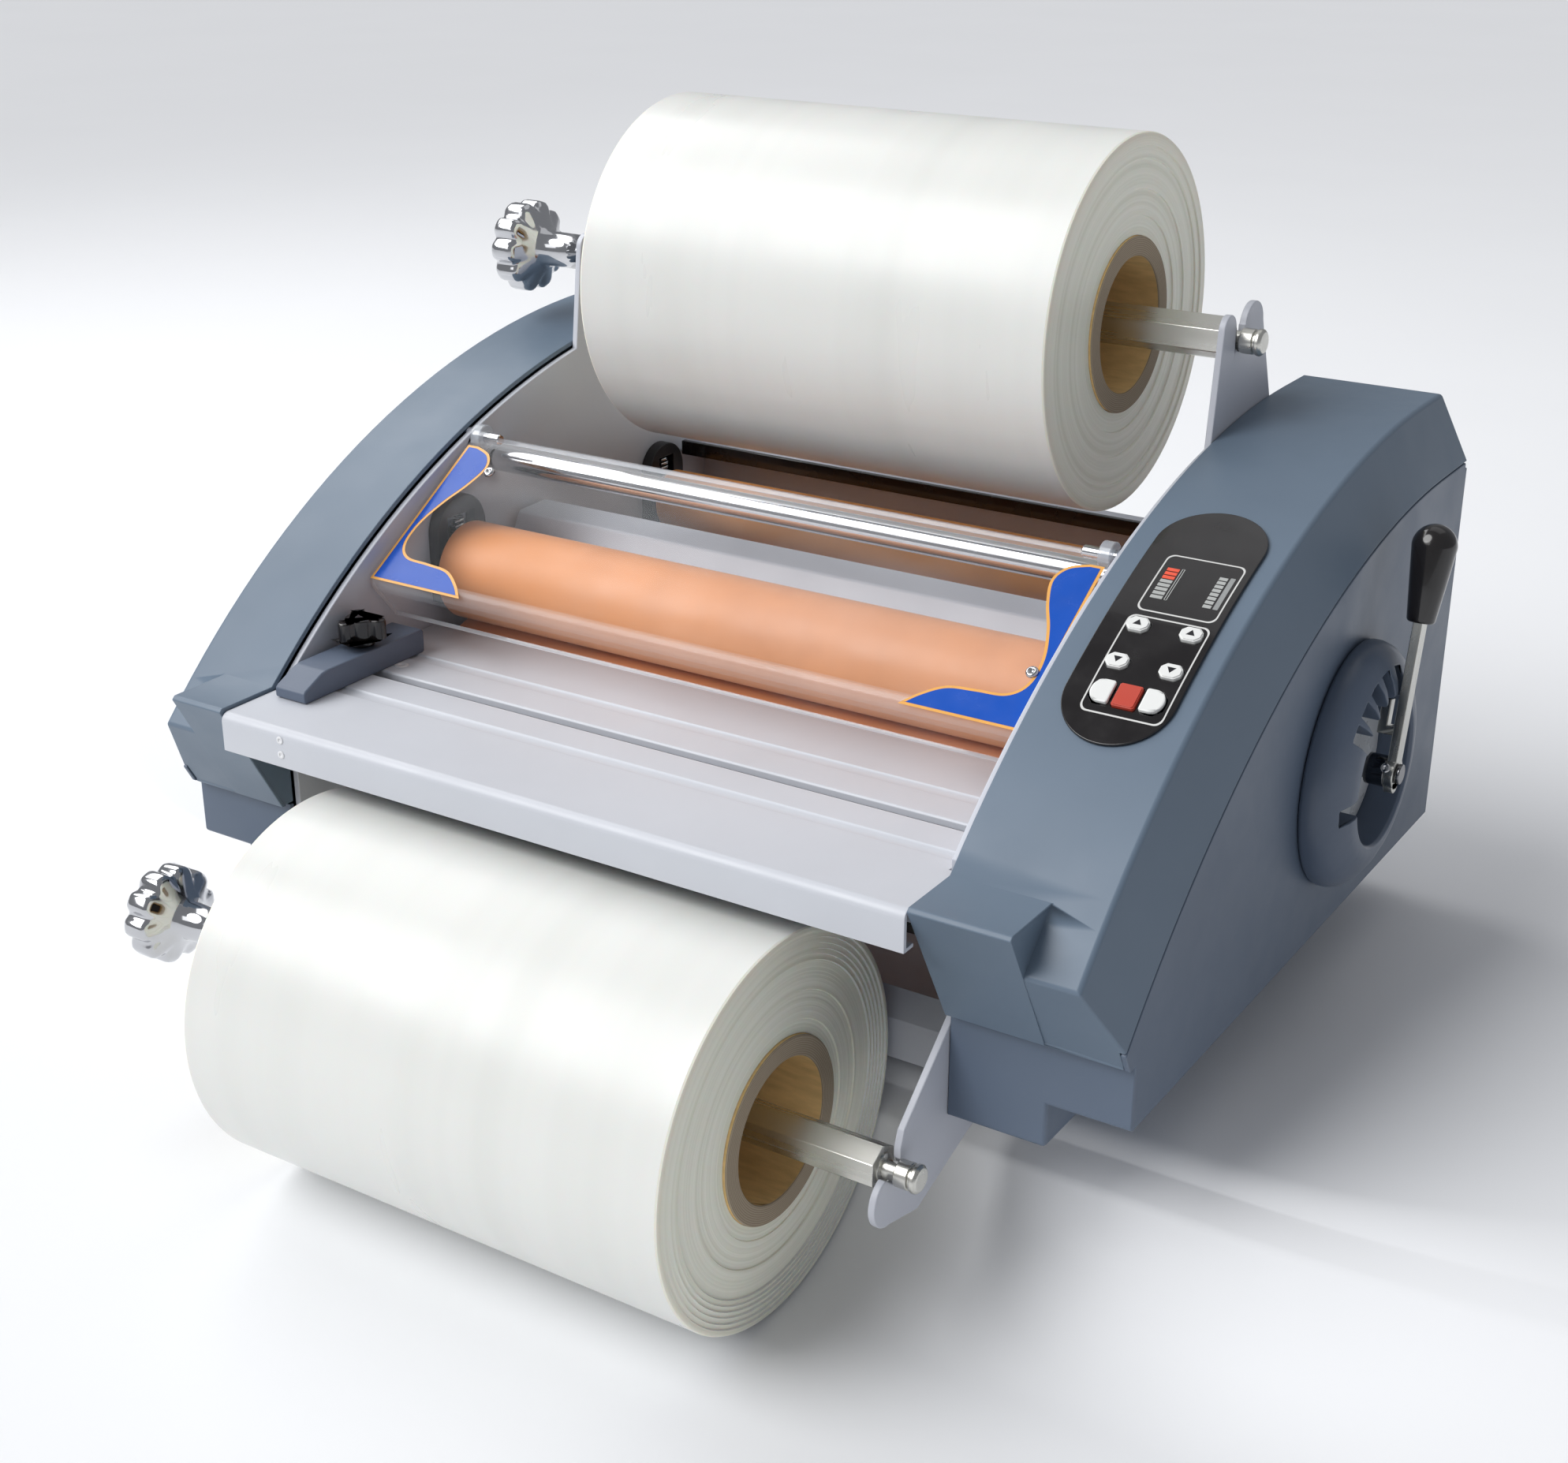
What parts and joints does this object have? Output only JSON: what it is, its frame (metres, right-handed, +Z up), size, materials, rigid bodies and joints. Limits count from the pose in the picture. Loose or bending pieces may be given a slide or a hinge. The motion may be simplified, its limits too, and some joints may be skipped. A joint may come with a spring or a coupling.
{
  "type": "roll laminator",
  "caption": "Desktop hot and cold roll laminator with two film rolls, feed table, clear shield, arched side housings and a pressure lever.",
  "frame": {"origin": "on the bench plane under the feet, midway between the side frames; the exit slot is towards +Y", "axes": "+X across the machine towards the pressure lever, -Y towards the operator, sheets travel towards +Y, +Z up"},
  "size_m": [0.6468, 0.5787, 0.5419],
  "materials": {
    "housing_upper": "satin blue-grey moulding",
    "housing_lower": "satin blue-grey moulding",
    "frame_paint": "light grey powder coat",
    "table_paint": "light grey anodised look",
    "dial_plastic": "satin blue-grey moulding",
    "panel_plastic": "gloss near-black",
    "board": "green laminate",
    "rubber_black": "matt",
    "bright_steel": "plated",
    "black_plastic": "gloss",
    "bush_plastic": "satin",
    "ceramic": "ceramic white",
    "motor_steel": "satin",
    "switch_red": "gloss red",
    "block_plastic": "satin",
    "spring_steel": "bright",
    "roller_steel": "ground",
    "silicone_front": "satin orange silicone",
    "silicone_rear": "satin orange silicone",
    "gear_plastic": "natural nylon",
    "pinion_metal": "sintered",
    "lever_zinc": "zinc plated",
    "shaft_steel": "blackened",
    "rocker_steel": "zinc plated",
    "clear_acrylic": "clear polished",
    "mandrel_steel": "satin",
    "chuck_plastic": "satin",
    "cardboard": "spiral-wound paperboard",
    "film": "satin film",
    "knob_chrome": "polished",
    "key_white": "satin white",
    "key_red": "satin red",
    "guide_plastic": "satin blue-grey"
  },
  "bodies": {
    "frame": {"side_frame_left": "frame_paint", "side_frame_right": "frame_paint", "base_pan": "frame_paint", "rear_panel": "frame_paint", "feed_table": "table_paint", "upper_cover_left": "housing_upper", "lower_cover_left": "housing_lower", "upper_cover_right": "housing_upper", "lower_cover_right": "housing_lower", "pressure_dial": "dial_plastic", "control_panel": "panel_plastic", "control_board": "board", "feet": "rubber_black", "shield_pins": "bright_steel", "roller_bearings": "bush_plastic", "lower_heater": "ceramic", "drive_belt": "rubber_black", "gearmotor": "motor_steel", "power_inlet": "black_plastic"},
    "power_switch": {"power_rocker": "switch_red"},
    "upper_carriage": {"upper_bearing_blocks": "block_plastic", "upper_heater": "ceramic", "pressure_springs": "spring_steel"},
    "upper_roller": {"upper_roller_tube": "roller_steel", "upper_roller_sleeve": "silicone_front", "upper_roller_gear": "gear_plastic"},
    "lower_roller": {"lower_roller_tube": "roller_steel", "lower_roller_sleeve": "silicone_front", "lower_roller_gear": "gear_plastic"},
    "lower_pull": {"lower_pull_shaft": "roller_steel", "lower_pull_sleeve": "silicone_rear", "pull_pulley": "gear_plastic"},
    "upper_pull": {"upper_pull_shaft": "roller_steel", "upper_pull_sleeve": "silicone_rear"},
    "drive_pinion": {"motor_pinion": "pinion_metal"},
    "idler": {"upper_idler": "bright_steel"},
    "lever": {"pressure_lever": "lever_zinc", "lever_grip": "black_plastic", "pressure_shaft": "shaft_steel"},
    "rockers": {"lift_rockers": "rocker_steel"},
    "front_shield": {"shield": "clear_acrylic"},
    "upper_roll": {"upper_mandrel": "mandrel_steel", "upper_core_chucks": "chuck_plastic", "upper_core": "cardboard", "upper_film": "film"},
    "upper_knob": {"upper_tension_knob": "knob_chrome"},
    "lower_roll": {"lower_mandrel": "mandrel_steel", "lower_core_chucks": "chuck_plastic", "lower_core": "cardboard", "lower_film": "film"},
    "lower_knob": {"lower_tension_knob": "knob_chrome"},
    "guide": {"side_guide": "guide_plastic"},
    "clamp_knob": {"guide_knob": "black_plastic"},
    "temp_up_key": {"temp_up_button": "key_white"},
    "temp_down_key": {"temp_down_button": "key_white"},
    "speed_up_key": {"speed_up_button": "key_white"},
    "speed_down_key": {"speed_down_button": "key_white"},
    "reverse_key": {"reverse_button": "key_white"},
    "run_stop_key": {"run_stop_button": "key_red"},
    "standby_key": {"standby_button": "key_white"}
  },
  "joints": [
    {"name": "lower_roller_spin", "type": "hinge", "parent": "frame", "child": "lower_roller", "pos_m": [0, -0.041, 0.1345], "axis": [1, 0, 0], "continuous": true},
    {"name": "carriage_lift", "type": "slide", "parent": "frame", "child": "upper_carriage", "axis": [0, 0, 1], "range_m": [0, 0.0062], "deforming": ["pressure_springs"]},
    {"name": "lever_turn", "type": "hinge", "parent": "frame", "child": "lever", "pos_m": [0, 0.066, 0.15], "axis": [1, 0, 0], "range_deg": [0, 113.5]},
    {"name": "upper_roller_spin", "type": "hinge", "parent": "upper_carriage", "child": "upper_roller", "pos_m": [0, -0.041, 0.1945], "axis": [1, 0, 0], "continuous": true},
    {"name": "rocker_turn", "type": "hinge", "parent": "frame", "child": "rockers", "pos_m": [0, 0.012, 0.15], "axis": [1, 0, 0], "range_deg": [-6.9, 0]},
    {"name": "lower_pull_spin", "type": "hinge", "parent": "frame", "child": "lower_pull", "pos_m": [0, 0.171, 0.1445], "axis": [1, 0, 0], "continuous": true},
    {"name": "upper_pull_spin", "type": "hinge", "parent": "frame", "child": "upper_pull", "pos_m": [0, 0.171, 0.1845], "axis": [1, 0, 0], "continuous": true},
    {"name": "pinion_spin", "type": "hinge", "parent": "frame", "child": "drive_pinion", "pos_m": [0, -0.0698, 0.0961], "axis": [1, 0, 0], "continuous": true},
    {"name": "idler_spin", "type": "hinge", "parent": "frame", "child": "idler", "pos_m": [0, 0.002, 0.252], "axis": [1, 0, 0], "continuous": true},
    {"name": "shield_tilt", "type": "hinge", "parent": "frame", "child": "front_shield", "pos_m": [0, -0.015, 0.27], "axis": [1, 0, 0], "range_deg": [-95, 0]},
    {"name": "upper_roll_spin", "type": "hinge", "parent": "frame", "child": "upper_roll", "pos_m": [0, 0.118, 0.3573], "axis": [1, 0, 0], "continuous": true},
    {"name": "upper_knob_turn", "type": "hinge", "parent": "upper_roll", "child": "upper_knob", "pos_m": [0, 0.118, 0.3573], "axis": [1, 0, 0], "range_deg": [0, 720]},
    {"name": "lower_roll_spin", "type": "hinge", "parent": "frame", "child": "lower_roll", "pos_m": [0, -0.2389, 0.025], "axis": [1, 0, 0], "continuous": true},
    {"name": "lower_knob_turn", "type": "hinge", "parent": "lower_roll", "child": "lower_knob", "pos_m": [0, -0.2389, 0.025], "axis": [1, 0, 0], "range_deg": [0, 720]},
    {"name": "guide_slide", "type": "slide", "parent": "frame", "child": "guide", "axis": [1, 0, 0], "range_m": [0, 0.37]},
    {"name": "guide_knob_turn", "type": "hinge", "parent": "guide", "child": "clamp_knob", "pos_m": [-0.198, -0.142, 0.163], "axis": [0, 0, 1], "range_deg": [-360, 0]},
    {"name": "power_switch_tilt", "type": "hinge", "parent": "frame", "child": "power_switch", "pos_m": [0.1295, 0.2285, 0.05], "axis": [1, 0, 0], "range_deg": [0, 16]},
    {"name": "temp_up_press", "type": "slide", "parent": "frame", "child": "temp_up_key", "axis": [0, 0.4541, -0.891], "range_m": [0, 0.0012], "stiffness_N_per_m": 400, "springref_m": -0.0004},
    {"name": "temp_down_press", "type": "slide", "parent": "frame", "child": "temp_down_key", "axis": [0, 0.4929, -0.8701], "range_m": [0, 0.0012], "stiffness_N_per_m": 400, "springref_m": -0.0004},
    {"name": "speed_up_press", "type": "slide", "parent": "frame", "child": "speed_up_key", "axis": [0, 0.4541, -0.891], "range_m": [0, 0.0012], "stiffness_N_per_m": 400, "springref_m": -0.0004},
    {"name": "speed_down_press", "type": "slide", "parent": "frame", "child": "speed_down_key", "axis": [0, 0.4929, -0.8701], "range_m": [0, 0.0012], "stiffness_N_per_m": 400, "springref_m": -0.0004},
    {"name": "reverse_press", "type": "slide", "parent": "frame", "child": "reverse_key", "axis": [0, 0.523, -0.8524], "range_m": [0, 0.0012], "stiffness_N_per_m": 400, "springref_m": -0.0004},
    {"name": "run_stop_press", "type": "slide", "parent": "frame", "child": "run_stop_key", "axis": [0, 0.523, -0.8524], "range_m": [0, 0.0012], "stiffness_N_per_m": 400, "springref_m": -0.0004},
    {"name": "standby_press", "type": "slide", "parent": "frame", "child": "standby_key", "axis": [0, 0.523, -0.8524], "range_m": [0, 0.0012], "stiffness_N_per_m": 400, "springref_m": -0.0004}
  ],
  "couplings": [
    {"joint": "lever_turn", "follows": "carriage_lift", "rad_per_m": 319.4},
    {"joint": "rocker_turn", "follows": "carriage_lift", "rad_per_m": -18.9},
    {"joint": "upper_roller_spin", "follows": "lower_roller_spin", "ratio": -1},
    {"joint": "lower_pull_spin", "follows": "lower_roller_spin", "ratio": 1.5},
    {"joint": "upper_pull_spin", "follows": "lower_roller_spin", "ratio": -1.5},
    {"joint": "pinion_spin", "follows": "lower_roller_spin", "ratio": -1.6667}
  ]
}
